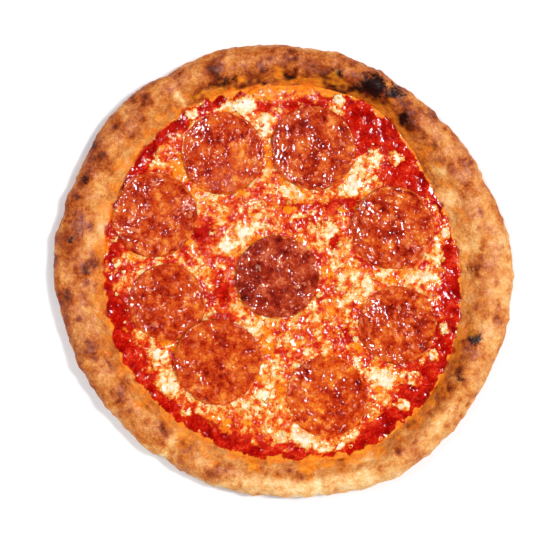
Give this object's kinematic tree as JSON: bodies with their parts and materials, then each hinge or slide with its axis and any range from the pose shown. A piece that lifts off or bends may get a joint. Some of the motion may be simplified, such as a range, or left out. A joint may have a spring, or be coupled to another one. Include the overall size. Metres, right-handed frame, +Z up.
{
  "type": "pepperoni pizza",
  "caption": "Round pizza with a puffed, browned rim, tomato sauce, melted cheese and round slices of pepperoni.",
  "frame": {"origin": "on the flat foot, under the middle of the pizza's bounding box", "axes": "+Z is up through the toppings and +Y points to the top edge of the pizza seen from above"},
  "size_m": [0.3006, 0.2958, 0.0217],
  "materials": {
    "baked_dough": "dry, floury crust, cream to golden brown with dark blisters",
    "tomato_sauce": "wet and glossy",
    "melted_cheese": "oily, lumpy, orange and cream mottled",
    "mozzarella": "soft and moist, cream",
    "pepperoni": "oily, with small pale flecks of fat"
  },
  "bodies": {
    "root": {"crust": "baked_dough", "tomato_sauce": "tomato_sauce", "melted_cheese": "melted_cheese", "mozzarella_blob_01": "mozzarella", "mozzarella_blob_02": "mozzarella", "mozzarella_blob_03": "mozzarella", "mozzarella_blob_04": "mozzarella", "mozzarella_blob_05": "mozzarella", "mozzarella_blob_06": "mozzarella", "mozzarella_blob_07": "mozzarella", "mozzarella_blob_08": "mozzarella", "mozzarella_blob_09": "mozzarella", "mozzarella_blob_10": "mozzarella", "mozzarella_blob_11": "mozzarella", "mozzarella_blob_12": "mozzarella", "mozzarella_blob_13": "mozzarella", "pepperoni_1": "pepperoni", "pepperoni_2": "pepperoni", "pepperoni_3": "pepperoni", "pepperoni_4": "pepperoni", "pepperoni_5": "pepperoni", "pepperoni_6": "pepperoni", "pepperoni_7": "pepperoni", "pepperoni_8": "pepperoni", "pepperoni_9": "pepperoni"}
  },
  "joints": []
}
